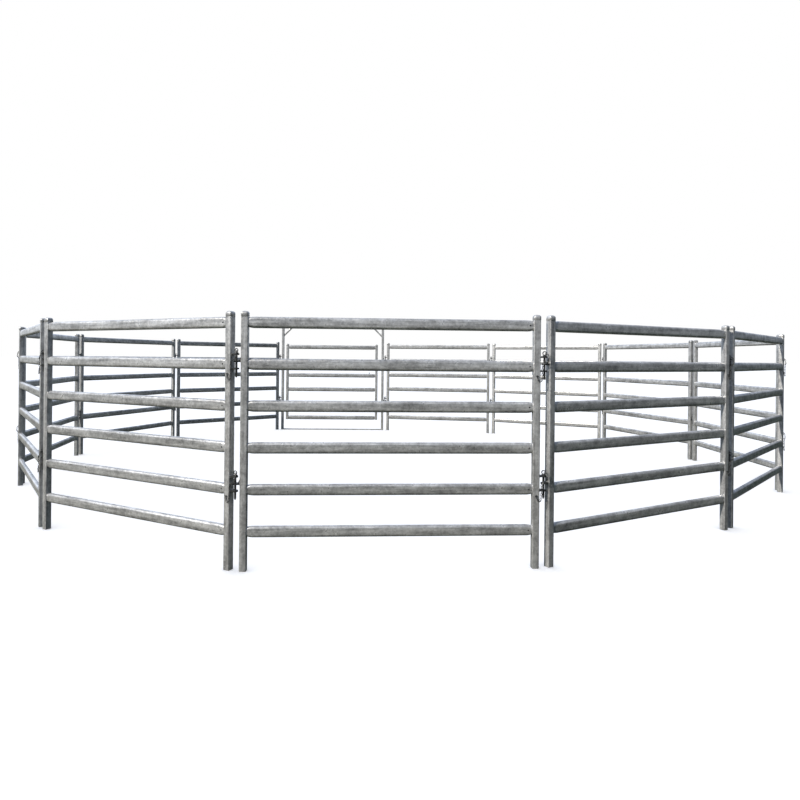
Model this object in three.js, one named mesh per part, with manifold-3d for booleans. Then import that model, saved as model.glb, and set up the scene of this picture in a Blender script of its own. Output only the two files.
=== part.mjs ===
// Round livestock yard: twelve six-rail panels and one gate in a tall frame, joined end to end
// by drop pins. Millimetres, +Z up. The front panel runs along +X and the yard lies behind it,
// towards +Y. The origin is on the ground, in the middle of the yard's outline.
import * as THREE from 'three';
import { mergeVertices } from 'three/addons/utils/BufferGeometryUtils.js';
import Module from 'manifold-3d';

const wasm = await Module();
wasm.setup();

// Setting out. Every bay, panel or gate, is one pitch long from pin to pin.
const BAY_PITCH = 2166;
// Turn from one bay to the next, in degrees. The first list goes from the front panel round to
// the right, the second from the front panel round to the left. The last two bays close the ring.
const RIGHT_TURNS = [26, 18, 42, 19, 43, 19];
const LEFT_TURNS = [31, 26, 24, 31];

// Panels: two square posts and six flat-oval rails.
const POST_WIDTH = 50;
const POST_CORNER = 6;
const POST_TO_PIN = 33;
const PANEL_HEIGHT = 1800;
const CAP_SKIRT = 24;
const CAP_DOME = 14;
const CAP_OVERHANG = 2;
const CAP_DOME_INSET = 7;
const RAIL_COUNT = 6;
const RAIL_HEIGHT = 80;
const RAIL_DEPTH = 40;
const RAIL_CORNER = 12;
const LOWEST_RAIL = 271;
const RAIL_PITCH = 290;
const WELD_LAP = 1;

// Lugs: a pair of plates on a panel's right end, one plate between them on the next panel's left.
const LUG_HEIGHTS = { upper: 1450, lower: 603 };
const LUG_SPREAD = 50;
const LUG_THICKNESS = 12;
const LUG_RADIUS = 20;
const LUG_HOLE_RADIUS = 11.5;
const ROUND_SEGMENTS = 3;
const GUSSET_HEIGHT = 32;
const GUSSET_REACH = 15;
const GUSSET_THICKNESS = 6;

// Drop pins.
const PIN_RADIUS = 8;
const PIN_BELOW_LUGS = 62;
const PIN_POINT = 12;
const PIN_COLLAR_RADIUS = 14;
const PIN_COLLAR_HEIGHT = 6;
const PIN_EYE_RADIUS = 16;
const PIN_EYE_HOLE = 9;
const PIN_EYE_THICKNESS = 7;
const SEATING_GAP = 0.3;

// Gate frame.
const FRAME_HEIGHT = 2185;
const HEADER_HEIGHT = 50;
const SILL_HEIGHT = 20;
const BRACE_WIDTH = 30;
const BRACE_LEG = 195;

// Gate leaf, hung at the right-hand end of its bay.
const LEAF_WIDTH = 1880;
const LEAF_BOTTOM = 210;
const LEAF_TOP = 1765;
const LEAF_LOWEST_RAIL = 250;
const HINGE_GAP = 44;
const HINGE_HEIGHTS = { upper: 1335, lower: 460 };
const HINGE_SPREAD = 32;
const HINGE_RADIUS = 16;
const HINGE_EYE_HEIGHT = 48;
const HINGE_PIN_RADIUS = 9;
const HINGE_HEAD_RADIUS = 14;
const HINGE_HEAD_HEIGHT = 10;

// Slide latch on the leaf's outer face, and its keeper on the frame.
const LATCH_RAIL = 3;
const LATCH_PLATE_LENGTH = 240;
const LATCH_PLATE_HEIGHT = 70;
const LATCH_PLATE_FACE = 31;
const BOLT_OFFSET = 53;
const BOLT_RADIUS = 10;
const BOLT_LENGTH = 276;
const BOLT_SET_BACK = 4;
const BOLT_EAR_POSITIONS = [20, 216];
const BOLT_HOLE_RADIUS = 13.5;
const HANDLE_POSITION = 176;
const HANDLE_RADIUS = 7;
const HANDLE_LENGTH = 90;
const KEEPER_FROM_POST_FACE = 22;

const BAY_COUNT = 13;
const FIRST_BAY_AFTER_RIGHT = RIGHT_TURNS.length + 1;
const POST_CENTRE = BAY_PITCH / 2 - POST_TO_PIN - POST_WIDTH / 2;
const POST_INNER_FACE = POST_CENTRE - POST_WIDTH / 2;
const HINGE_AXIS = POST_INNER_FACE - HINGE_GAP / 2;
const LEAF_HINGE_EDGE = POST_INNER_FACE - HINGE_GAP;
const LEAF_LATCH_EDGE = LEAF_HINGE_EDGE - LEAF_WIDTH;
const LATCH_HEIGHT = LEAF_LOWEST_RAIL + LATCH_RAIL * RAIL_PITCH;

// Turns a closed three.js geometry into a solid that can be joined and cut.
function solidOf(geometry) {
  geometry.deleteAttribute('normal');
  geometry.deleteAttribute('uv');
  const merged = mergeVertices(geometry);
  return new wasm.Manifold(new wasm.Mesh({
    numProp: 3,
    vertProperties: new Float32Array(merged.attributes.position.array),
    triVerts: new Uint32Array(merged.index.array),
  }));
}

function geometryOf(solid) {
  const mesh = solid.getMesh();
  const geometry = new THREE.BufferGeometry();
  geometry.setAttribute('position', new THREE.BufferAttribute(mesh.vertProperties, 3));
  geometry.setIndex(new THREE.BufferAttribute(mesh.triVerts, 1));
  const flat = geometry.toNonIndexed();
  flat.computeVertexNormals();
  return flat;
}

function joined(solids) {
  return solids.reduce((whole, piece) => whole.add(piece));
}

// Rectangle with its four corners cut off.
function cutCornerOutline(width, height, corner) {
  const [w, h] = [width / 2, height / 2];
  return new THREE.Shape([
    [w - corner, -h], [w, corner - h], [w, h - corner], [w - corner, h],
    [corner - w, h], [-w, h - corner], [-w, corner - h], [corner - w, -h],
  ].map(([x, y]) => new THREE.Vector2(x, y)));
}

function extruded(shape, depth, curveSegments = ROUND_SEGMENTS) {
  return new THREE.ExtrudeGeometry(shape, { depth, bevelEnabled: false, curveSegments });
}

// Square tube standing at x, between two heights.
function upright(x, bottom, top) {
  const outline = cutCornerOutline(POST_WIDTH, POST_WIDTH, POST_CORNER);
  return solidOf(extruded(outline, top - bottom).translate(x, 0, bottom));
}

// Square post with the cap that fits over its top end.
function cappedPost(x, bottom, top) {
  const skirtWidth = POST_WIDTH + 2 * CAP_OVERHANG;
  const domeWidth = skirtWidth - 2 * CAP_DOME_INSET;
  const skirt = extruded(cutCornerOutline(skirtWidth, skirtWidth, POST_CORNER), CAP_SKIRT);
  const dome = extruded(cutCornerOutline(domeWidth, domeWidth, POST_CORNER), CAP_DOME + WELD_LAP);
  return joined([
    upright(x, bottom, top - CAP_DOME - WELD_LAP),
    solidOf(skirt.translate(x, 0, top - CAP_DOME - CAP_SKIRT)),
    solidOf(dome.translate(x, 0, top - CAP_DOME - WELD_LAP)),
  ]);
}

// Flat-oval rail between two places along X, at one height.
function rail(start, end, height) {
  const length = end - start + 2 * WELD_LAP;
  const bar = extruded(cutCornerOutline(RAIL_DEPTH, RAIL_HEIGHT, RAIL_CORNER), length);
  bar.rotateX(Math.PI / 2).rotateZ(Math.PI / 2);
  return solidOf(bar.translate(start - WELD_LAP, 0, height));
}

function railSet(start, end, lowest) {
  return Array.from({ length: RAIL_COUNT }, (_, i) => rail(start, end, lowest + i * RAIL_PITCH));
}

// Flat plate with a round nose and a hole: its back edge is reach away from the hole, towards +X.
function eyePlate(radius, hole, reach, thickness) {
  const outline = new THREE.Shape();
  outline.moveTo(reach, -radius);
  outline.lineTo(reach, radius);
  outline.lineTo(0, radius);
  outline.absarc(0, 0, radius, Math.PI / 2, 1.5 * Math.PI, false);
  outline.holes.push(new THREE.Path().absarc(0, 0, hole, 0, 2 * Math.PI, true));
  return extruded(outline, thickness).translate(0, 0, -thickness / 2);
}

// Level lug plate around a vertical pin at x; side is +1 where its post is on the +X side.
function lug(x, side, height, reach, radius, thickness) {
  const plate = eyePlate(radius, LUG_HOLE_RADIUS, reach + WELD_LAP, thickness);
  return solidOf(plate.rotateZ(side > 0 ? 0 : Math.PI).translate(x, 0, height));
}

function lugPair(x, side, height, reach, radius, spread) {
  return [spread, -spread].map((dz) => lug(x, side, height + dz, reach, radius, LUG_THICKNESS));
}

// Upright triangular stiffener on top of a single lug, against the post at postFace.
function lugGusset(postFace, height) {
  const foot = height + LUG_THICKNESS / 2 - WELD_LAP;
  const root = postFace + WELD_LAP;
  const outline = new THREE.Shape([
    new THREE.Vector2(root - GUSSET_REACH, foot),
    new THREE.Vector2(root, foot),
    new THREE.Vector2(root, foot + GUSSET_HEIGHT),
  ]);
  const plate = extruded(outline, GUSSET_THICKNESS).translate(0, 0, -GUSSET_THICKNESS / 2);
  return solidOf(plate.rotateX(Math.PI / 2));
}

// Lugs of one bay: single plates on its left-hand end, pairs on its right-hand end.
function bayLugs() {
  const end = BAY_PITCH / 2;
  return Object.values(LUG_HEIGHTS).flatMap((height) => [
    lug(-end, 1, height, POST_TO_PIN, LUG_RADIUS, LUG_THICKNESS),
    lugGusset(POST_TO_PIN - end, height),
    ...lugPair(end, -1, height, POST_TO_PIN, LUG_RADIUS, LUG_SPREAD),
  ]);
}

function panelGeometry() {
  return geometryOf(joined([
    cappedPost(-POST_CENTRE, 0, PANEL_HEIGHT),
    cappedPost(POST_CENTRE, 0, PANEL_HEIGHT),
    ...railSet(-POST_INNER_FACE, POST_INNER_FACE, LOWEST_RAIL),
    ...bayLugs(),
  ]));
}

// Square corner brace between a frame post and the header; side is +1 for the +X corner.
function cornerBrace(side) {
  const run = BRACE_LEG * Math.SQRT2 + 2 * BRACE_WIDTH;
  const brace = new THREE.BoxGeometry(run, BRACE_WIDTH, BRACE_WIDTH);
  brace.rotateY(side * Math.PI / 4);
  const x = side * (POST_INNER_FACE - BRACE_LEG / 2);
  return solidOf(brace.translate(x, 0, FRAME_HEIGHT - HEADER_HEIGHT - BRACE_LEG / 2));
}

// Upright ear with a level hole along X, standing out of the outer (-Y) side of the bay.
function boltEar(x) {
  const root = BOLT_OFFSET - LATCH_PLATE_FACE + 2 * WELD_LAP;
  const ear = eyePlate(BOLT_OFFSET / 2 - WELD_LAP, BOLT_HOLE_RADIUS, root, LUG_THICKNESS);
  ear.rotateZ(Math.PI / 2).rotateY(Math.PI / 2);
  return solidOf(ear.translate(x, -BOLT_OFFSET, LATCH_HEIGHT));
}

// Welded keeper: a short block on the frame post that carries one bolt ear.
function keeper() {
  const x = -POST_INNER_FACE - KEEPER_FROM_POST_FACE;
  const depth = LATCH_PLATE_FACE - POST_WIDTH / 2 + WELD_LAP;
  const pad = new THREE.BoxGeometry(POST_WIDTH / 2, depth, LATCH_PLATE_HEIGHT);
  pad.translate(x, depth / 2 - LATCH_PLATE_FACE, LATCH_HEIGHT);
  return solidOf(pad).add(boltEar(x));
}

function gateFrameGeometry() {
  const header = new THREE.BoxGeometry(2 * POST_CENTRE, POST_WIDTH, HEADER_HEIGHT);
  header.translate(0, 0, FRAME_HEIGHT - HEADER_HEIGHT / 2);
  const sill = new THREE.BoxGeometry(2 * POST_CENTRE, POST_WIDTH - 2 * POST_CORNER, SILL_HEIGHT);
  sill.translate(0, 0, SILL_HEIGHT / 2);
  const hingeLugs = Object.values(HINGE_HEIGHTS).flatMap(
    (height) => lugPair(HINGE_AXIS, 1, height, HINGE_GAP / 2, HINGE_RADIUS, HINGE_SPREAD),
  );
  return geometryOf(joined([
    upright(-POST_CENTRE, 0, FRAME_HEIGHT),
    upright(POST_CENTRE, 0, FRAME_HEIGHT),
    solidOf(header),
    solidOf(sill),
    cornerBrace(-1),
    cornerBrace(1),
    keeper(),
    ...hingeLugs,
    ...bayLugs(),
  ]));
}

function gateLeafGeometry() {
  const stileOffset = POST_WIDTH / 2;
  const plateDepth = LATCH_PLATE_FACE - RAIL_DEPTH / 2 + WELD_LAP;
  const plate = new THREE.BoxGeometry(LATCH_PLATE_LENGTH, plateDepth, LATCH_PLATE_HEIGHT);
  const plateX = LEAF_LATCH_EDGE + LATCH_PLATE_LENGTH / 2;
  plate.translate(plateX, plateDepth / 2 - LATCH_PLATE_FACE, LATCH_HEIGHT);
  const hingeEyes = Object.values(HINGE_HEIGHTS).map(
    (height) => lug(HINGE_AXIS, -1, height, HINGE_GAP / 2, HINGE_RADIUS, HINGE_EYE_HEIGHT),
  );
  return geometryOf(joined([
    cappedPost(LEAF_HINGE_EDGE - stileOffset, LEAF_BOTTOM, LEAF_TOP),
    cappedPost(LEAF_LATCH_EDGE + stileOffset, LEAF_BOTTOM, LEAF_TOP),
    ...railSet(LEAF_LATCH_EDGE + POST_WIDTH, LEAF_HINGE_EDGE - POST_WIDTH, LEAF_LOWEST_RAIL),
    solidOf(plate),
    ...BOLT_EAR_POSITIONS.map((offset) => boltEar(LEAF_LATCH_EDGE + offset)),
    ...hingeEyes,
  ]));
}

// Solid of revolution about Z, from [radius, height] pairs that start and end on the axis.
function turned(profile, segments) {
  const points = profile.map(([r, z]) => new THREE.Vector2(r, z));
  return new THREE.LatheGeometry(points, segments).rotateX(Math.PI / 2);
}

// Drop pin, with its zero at the middle of a lug set: point, shank, collar and lifting eye.
function dropPinGeometry() {
  const seat = LUG_SPREAD + LUG_THICKNESS / 2 + SEATING_GAP;
  const tip = -LUG_SPREAD - PIN_BELOW_LUGS;
  const shank = turned([
    [0, tip], [PIN_RADIUS / 2, tip], [PIN_RADIUS, tip + PIN_POINT], [PIN_RADIUS, seat],
    [PIN_COLLAR_RADIUS, seat], [PIN_COLLAR_RADIUS, seat + PIN_COLLAR_HEIGHT],
    [0, seat + PIN_COLLAR_HEIGHT],
  ], 6);
  const eye = new THREE.Shape().absarc(0, 0, PIN_EYE_RADIUS, 0, 2 * Math.PI, false);
  eye.holes.push(new THREE.Path().absarc(0, 0, PIN_EYE_HOLE, 0, 2 * Math.PI, true));
  const ring = extruded(eye, PIN_EYE_THICKNESS, 4);
  ring.translate(0, 0, -PIN_EYE_THICKNESS / 2).rotateX(Math.PI / 2);
  ring.translate(0, 0, seat + PIN_COLLAR_HEIGHT + PIN_EYE_RADIUS - 2 * WELD_LAP);
  return geometryOf(solidOf(shank).add(solidOf(ring)));
}

// Headed hinge pin with its nut, with its zero at the middle of a hinge.
function hingePinGeometry() {
  const seat = HINGE_SPREAD + LUG_THICKNESS / 2 + SEATING_GAP;
  const end = seat + HINGE_HEAD_HEIGHT;
  return turned([
    [0, -end], [HINGE_HEAD_RADIUS, -end], [HINGE_HEAD_RADIUS, -seat], [HINGE_PIN_RADIUS, -seat],
    [HINGE_PIN_RADIUS, seat], [HINGE_HEAD_RADIUS, seat], [HINGE_HEAD_RADIUS, end], [0, end],
  ], 6);
}

// Slide bolt drawn back clear of the keeper, with a handle that leans up and outwards.
function latchBoltGeometry() {
  const rod = new THREE.CylinderGeometry(BOLT_RADIUS, BOLT_RADIUS, BOLT_LENGTH, 8);
  const start = LEAF_LATCH_EDGE + BOLT_SET_BACK;
  rod.rotateZ(Math.PI / 2).translate(start + BOLT_LENGTH / 2, -BOLT_OFFSET, LATCH_HEIGHT);
  const handle = new THREE.CylinderGeometry(HANDLE_RADIUS, HANDLE_RADIUS, HANDLE_LENGTH, 6);
  handle.translate(0, HANDLE_LENGTH / 2, 0).rotateX(0.75 * Math.PI);
  handle.translate(LEAF_LATCH_EDGE + HANDLE_POSITION, -BOLT_OFFSET, LATCH_HEIGHT);
  return geometryOf(solidOf(rod).add(solidOf(handle)));
}

// Pin positions round the ring, numbered from the front panel's left-hand pin.
function ringCorners() {
  const corners = Array.from({ length: BAY_COUNT }, () => new THREE.Vector2());
  const bay = (heading) => new THREE.Vector2(BAY_PITCH, 0).rotateAround(new THREE.Vector2(), heading);
  corners[1].set(BAY_PITCH, 0);
  let heading = 0;
  RIGHT_TURNS.forEach((turn, i) => {
    heading += THREE.MathUtils.degToRad(turn);
    corners[i + 2].copy(corners[i + 1]).add(bay(heading));
  });
  heading = 0;
  LEFT_TURNS.forEach((turn, i) => {
    heading -= THREE.MathUtils.degToRad(turn);
    const next = corners[(BAY_COUNT - i) % BAY_COUNT];
    corners[BAY_COUNT - 1 - i].copy(next).sub(bay(heading));
  });
  const rightEnd = corners[FIRST_BAY_AFTER_RIGHT];
  const leftEnd = corners[BAY_COUNT - LEFT_TURNS.length];
  const base = leftEnd.clone().sub(rightEnd);
  const rise = Math.sqrt(BAY_PITCH ** 2 - base.lengthSq() / 4);
  const outward = new THREE.Vector2(base.y, -base.x).setLength(rise);
  corners[FIRST_BAY_AFTER_RIGHT + 1].copy(rightEnd).addScaledVector(base, 0.5).add(outward);
  return corners;
}

function steel(color, roughness, metalness) {
  return new THREE.MeshStandardMaterial({ color, roughness, metalness });
}

const galvanised = () => steel(0xa9acb0, 0.5, 0.7);
const plated = () => steel(0x8b8d90, 0.4, 0.8);

function piece(name, geometry, material) {
  const mesh = new THREE.Mesh(geometry, material);
  mesh.name = name;
  return mesh;
}

function gateBay() {
  const bay = new THREE.Group();
  bay.add(piece('gate_frame', gateFrameGeometry(), galvanised()));
  bay.add(piece('gate_leaf', gateLeafGeometry(), galvanised()));
  bay.add(piece('latch_bolt', latchBoltGeometry(), plated()));
  for (const [level, height] of Object.entries(HINGE_HEIGHTS)) {
    const pin = piece(`gate_hinge_pin_${level}`, hingePinGeometry(), plated());
    pin.position.set(HINGE_AXIS, 0, height);
    bay.add(pin);
  }
  return bay;
}

function panelBay(number, geometry) {
  const name = `panel_${String(number).padStart(2, '0')}`;
  return new THREE.Group().add(piece(name, geometry, galvanised()));
}

// The two drop pins of one junction.
function junctionPins(number, geometry) {
  const pins = new THREE.Group();
  for (const [level, height] of Object.entries(LUG_HEIGHTS)) {
    const name = `drop_pin_${String(number).padStart(2, '0')}_${level}`;
    const pin = piece(name, geometry, plated());
    pin.position.z = height;
    pins.add(pin);
  }
  return pins;
}

function buildYard() {
  const yard = new THREE.Group();
  const corners = ringCorners();
  const panel = panelGeometry();
  const dropPin = dropPinGeometry();
  corners.forEach((start, i) => {
    const end = corners[(i + 1) % BAY_COUNT];
    const heading = end.clone().sub(start).angle();
    const isGate = i === FIRST_BAY_AFTER_RIGHT;
    const panelNumber = i < FIRST_BAY_AFTER_RIGHT ? i + 1 : i;
    const bay = isGate ? gateBay() : panelBay(panelNumber, panel);
    bay.position.set((start.x + end.x) / 2, (start.y + end.y) / 2, 0);
    bay.rotation.z = heading;
    const pins = junctionPins(i + 1, dropPin);
    pins.position.set(end.x, end.y, 0);
    pins.rotation.z = heading;
    yard.add(bay, pins);
  });
  return yard;
}

const yard = buildYard();
const middle = new THREE.Box3().setFromObject(yard).getCenter(new THREE.Vector3());
yard.position.set(-middle.x, -middle.y, 0);

export default new THREE.Group().add(yard);
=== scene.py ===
"""Looks of a round livestock yard: galvanised rail panels, drop pins on chains, a framed gate."""

import math

import bmesh
import bpy
from mathutils import Matrix, Vector


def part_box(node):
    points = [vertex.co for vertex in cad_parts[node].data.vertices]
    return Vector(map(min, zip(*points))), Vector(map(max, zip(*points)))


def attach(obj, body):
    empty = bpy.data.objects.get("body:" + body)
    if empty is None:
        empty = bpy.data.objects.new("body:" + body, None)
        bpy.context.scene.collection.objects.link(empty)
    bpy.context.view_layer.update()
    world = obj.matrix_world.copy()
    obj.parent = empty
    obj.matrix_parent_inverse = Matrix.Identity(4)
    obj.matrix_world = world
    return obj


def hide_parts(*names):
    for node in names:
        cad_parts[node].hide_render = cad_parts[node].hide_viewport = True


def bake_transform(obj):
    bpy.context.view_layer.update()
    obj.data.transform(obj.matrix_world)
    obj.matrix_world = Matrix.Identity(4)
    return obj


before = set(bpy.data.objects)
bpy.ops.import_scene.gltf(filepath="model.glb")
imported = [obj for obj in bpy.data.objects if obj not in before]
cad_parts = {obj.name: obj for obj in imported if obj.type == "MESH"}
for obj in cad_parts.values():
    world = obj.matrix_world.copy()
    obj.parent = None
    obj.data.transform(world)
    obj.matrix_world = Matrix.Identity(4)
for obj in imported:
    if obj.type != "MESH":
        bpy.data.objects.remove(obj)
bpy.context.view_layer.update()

# Setting out. A bay is a panel or the gate in its frame. In a bay's own axes X runs from its left
# pin to its right pin, -Y points out of the yard and Z is up. All lengths are metres.
BAY_COUNT = 13
GATE_BAY = 8
PIN_LEVELS = ("upper", "lower")

# Posts and rails. A rail's ends are pressed in to a smaller height, over the length of the taper.
POST_WIDTH = 0.050
POST_ROUND = 0.006
POST_TO_PIN = 0.033
RAIL_COUNT = 6
RAIL_HEIGHT = 0.080
RAIL_DEPTH = 0.040
RAIL_END_HEIGHT = 0.067
RAIL_TAPER = 0.045
TAPER_STEPS = 6
RAIL_FLAT = 0.001
RAIL_ROUND = (RAIL_DEPTH - RAIL_FLAT) / 2
RAIL_STEPS = 8
LOWEST_RAIL = 0.271
RAIL_PITCH = 0.290
TUBE_EDGE = 0.0012

# Post caps. A dome narrows by a power of the cosine, and stops a little short of a point.
CAP_WIDTH = 0.054
CAP_SKIRT = 0.020
CAP_LIP = 0.0016
CAP_DOME = 0.018
CAP_ROUND = 0.012
CAP_ROUND_SHARE = 0.6
DOME_POWER = 0.6
DOME_FLAT = 0.4
DOME_STEPS = 9

# Lugs. A bay has one at each level on its left end, and two on its right, a spread above and below.
LUG_HEIGHTS = {"upper": 1.450, "lower": 0.603}
LUG_SPREAD = 0.050
LUG_THICKNESS = 0.012
LUG_RADIUS = 0.020
LUG_HOLE = 0.0105
GUSSET_HEIGHT = 0.032
GUSSET_REACH = 0.015
GUSSET_THICKNESS = 0.006
PLATE_EDGE = 0.0008

# Drop pins, with heights from the middle of their lugs, and shares of the pin's radius.
PIN_RADIUS = 0.008
PIN_TIP = -0.112
PIN_POINT = 0.012
PIN_SEAT = 0.0563
PIN_TIP_SHARES = (0.35, 0.55)
PIN_TOP_SHARES = (0.9, 0.5)
COLLAR_RADIUS = 0.014
COLLAR_HEIGHT = 0.006
EYE_RADIUS = 0.0125
EYE_WIRE = 0.0035
EYE_HEIGHT = 0.0763
EYE_STEPS = 36

# Retaining chain, as points around the middle of the lugs, from the pin's eye to a staple on the post.
CHAIN_ROUTE = (
    (0.0090, -0.0060, 0.0720),
    (0.0200, -0.0200, 0.0640),
    (0.0200, -0.0290, 0.0350),
    (0.0070, -0.0330, 0.0110),
    (-0.0120, -0.0335, 0.0050),
    (-0.0240, -0.0320, -0.0180),
    (-0.0240, -0.0320, -0.0600),
    (-0.0260, -0.0320, -0.1050),
    (-0.0360, -0.0340, -0.1270),
    (-0.0500, -0.0335, -0.1150),
    (-0.0580, -0.0300, -0.0900),
)
LINK_LENGTH = 0.0220
LINK_WIDTH = 0.0130
LINK_WIRE = 0.0020
LINK_OVERLAP = 2.6 * LINK_WIRE
LINK_PITCH = LINK_LENGTH - LINK_OVERLAP
LINK_STEPS = 6
STAPLE_HEIGHT = -0.085
STAPLE_REACH = 0.008
STAPLE_WIRE = 0.002

# Vent holes, drilled from outside into a rail's wide side: the front at one end, the back at the other.
VENT_RADIUS = 0.0060
VENT_DEPTH = 0.030
VENT_FROM_END = 0.026
VENT_START = RAIL_DEPTH * 0.6

# Gate frame and leaf.
FRAME_HEIGHT = 2.185
HEADER_HEIGHT = 0.050
SILL_HEIGHT = 0.020
SILL_DEPTH = 0.038
SILL_ROUND = 0.003
BRACE_WIDTH = 0.030
BRACE_ROUND = 0.003
BRACE_LEG = 0.195
LEAF_WIDTH = 1.880
LEAF_BOTTOM = 0.210
LEAF_TOP = 1.765
LEAF_LOWEST_RAIL = 0.250

# Hinges: an eye on the leaf between two lugs on the frame, with heights from the eye's middle.
HINGE_GAP = 0.044
HINGE_HEIGHTS = {"upper": 1.335, "lower": 0.460}
HINGE_SPREAD = 0.032
HINGE_RADIUS = 0.016
HINGE_EYE_HEIGHT = 0.048
HINGE_PIN_RADIUS = 0.009
HINGE_HEAD_RADIUS = 0.014
HINGE_HEAD_HEIGHT = 0.010
HINGE_SEAT = 0.0383
HINGE_PIN_INTO_HEAD = 0.9

# Latch, with offsets outwards from the middle of the rails, and positions from the leaf's latch edge.
LATCH_HEIGHT = LEAF_LOWEST_RAIL + 3 * RAIL_PITCH
LATCH_PLATE_LENGTH = 0.240
LATCH_PLATE_HEIGHT = 0.070
LATCH_PLATE_FACE = 0.031
LATCH_PLATE_ROUND = 0.006
BOLT_OFFSET = 0.053
BOLT_RADIUS = 0.010
BOLT_LENGTH = 0.276
BOLT_SET_BACK = 0.004
BOLT_EAR_POSITIONS = (0.020, 0.216)
BOLT_EAR_RADIUS = 0.0255
BOLT_HOLE = 0.0125
HANDLE_POSITION = 0.176
HANDLE_RADIUS = 0.007
HANDLE_LENGTH = 0.090
KEEPER_FROM_POST = 0.022
KEEPER_ROUND = 0.004

# Weld beads. The ripple is a share of the radius, and its turns are radians from ring to ring.
WELD_RADIUS = 0.0032
WELD_STEP = 0.0035
WELD_RIPPLE = 0.22
WELD_RIPPLE_TURNS = (2.1, 0.37)
SMALL_WELD_RADIUS = WELD_RADIUS * 0.8
SHARP_ANGLE = math.radians(38)

X = Vector((1, 0, 0))
Y = Vector((0, 1, 0))
Z = Vector((0, 0, 1))


# --- The places of the bays, from the frame -----------------------------------------------------

def pin_axis(number):
    """Where the pins between a bay and the next stand, on the ground."""
    low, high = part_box(f"drop_pin_{number:02d}_upper")
    return Vector(((low.x + high.x) / 2, (low.y + high.y) / 2, 0))


def bay_matrix(number):
    """A bay's own axes: from the middle between its two pins, with X along it."""
    left = pin_axis((number - 2) % BAY_COUNT + 1)
    right = pin_axis(number)
    heading = math.atan2(right.y - left.y, right.x - left.x)
    return Matrix.Translation((left + right) / 2) @ Matrix.Rotation(heading, 4, "Z")


def bay_body(number):
    """A bay's body in the frame: the gate's bay is not counted among the panels."""
    if number == GATE_BAY:
        return "gate_frame"
    return f"panel_{number - (number > GATE_BAY):02d}"


BAY_PITCH = (pin_axis(2) - pin_axis(1)).length
PANEL_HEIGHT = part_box("panel_01")[1].z
POST_CENTRE = BAY_PITCH / 2 - POST_TO_PIN - POST_WIDTH / 2
POST_INNER = POST_CENTRE - POST_WIDTH / 2
HINGE_AXIS = POST_INNER - HINGE_GAP / 2
LEAF_HINGE_EDGE = POST_INNER - HINGE_GAP
LEAF_LATCH_EDGE = LEAF_HINGE_EDGE - LEAF_WIDTH


# --- Making surfaces ----------------------------------------------------------------------------

class Skin:
    """Closed surfaces collected into one mesh, each with the number of its material."""

    def __init__(self):
        self.points = []
        self.faces = []
        self.slots = []
        self.slot = 0

    def loft(self, rings, loop=False):
        """Surface through rings of equal count, closed at both ends unless the rings meet."""
        start = len(self.points)
        count = len(rings[0])
        for ring in rings:
            self.points.extend(ring)
        spans = len(rings) if loop else len(rings) - 1
        faces = []
        for i in range(spans):
            a = start + i * count
            b = start + (i + 1) % len(rings) * count
            for j in range(count):
                k = (j + 1) % count
                faces.append((a + j, a + k, b + k, b + j))
        if not loop:
            last = start + (len(rings) - 1) * count
            faces.append(tuple(range(start + count - 1, start - 1, -1)))
            faces.append(tuple(range(last, last + count)))
        self.faces.extend(faces)
        self.slots.extend([self.slot] * len(faces))

    def take(self, mesh, matrix):
        """Adds a finished mesh, moved by a matrix."""
        start = len(self.points)
        self.points.extend(matrix @ v.co for v in mesh.vertices)
        for polygon in mesh.polygons:
            self.faces.append(tuple(start + i for i in polygon.vertices))
            self.slots.append(self.slot)

    def mesh(self, name, *materials):
        """Everything collected, as a mesh that is smooth but for its sharp edges."""
        made = bpy.data.meshes.new(name)
        made.from_pydata(self.points, [], self.faces)
        made.polygons.foreach_set("material_index", self.slots)
        for material in materials:
            made.materials.append(material)
        work = bmesh.new()
        work.from_mesh(made)
        bmesh.ops.recalc_face_normals(work, faces=work.faces)
        work.to_mesh(made)
        work.free()
        made.shade_smooth()
        made.set_sharp_from_angle(angle=SHARP_ANGLE)
        return made


def arc(centre, radius, first, last, steps):
    """Points on a circle in two dimensions, both ends included."""
    angles = [first + (last - first) * i / steps for i in range(steps + 1)]
    return [(centre[0] + radius * math.cos(a), centre[1] + radius * math.sin(a)) for a in angles]


def rounded_outline(width, height, radius, steps=5):
    """Rectangle with round corners, around the origin."""
    w, h = width / 2 - radius, height / 2 - radius
    quarter = math.pi / 2
    outline = []
    for i, corner in enumerate(((w, h), (-w, h), (-w, -h), (w, -h))):
        outline += arc(corner, radius, i * quarter, (i + 1) * quarter, steps)
    return outline


def placed(outline, centre, across, up):
    """An outline's points in space, around a centre and along two directions."""
    return [centre + across * u + up * v for u, v in outline]


def tube_bar(skin, start, end, across, width, height, radius, steps=5):
    """Straight bar with a rounded-rectangle section and a small bevel at each end."""
    along = (end - start).normalized()
    up = along.cross(across)
    small = rounded_outline(width - 2 * TUBE_EDGE, height - 2 * TUBE_EDGE, radius - TUBE_EDGE, steps)
    full = rounded_outline(width, height, radius, steps)
    skin.loft([
        placed(small, start, across, up),
        placed(full, start + along * TUBE_EDGE, across, up),
        placed(full, end - along * TUBE_EDGE, across, up),
        placed(small, end, across, up),
    ])


def prism(skin, outline, centre, across, up, thickness):
    """Flat plate with a given outline."""
    normal = across.cross(up)
    half = normal * (thickness / 2)
    skin.loft([placed(outline, centre - half, across, up), placed(outline, centre + half, across, up)])


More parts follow.
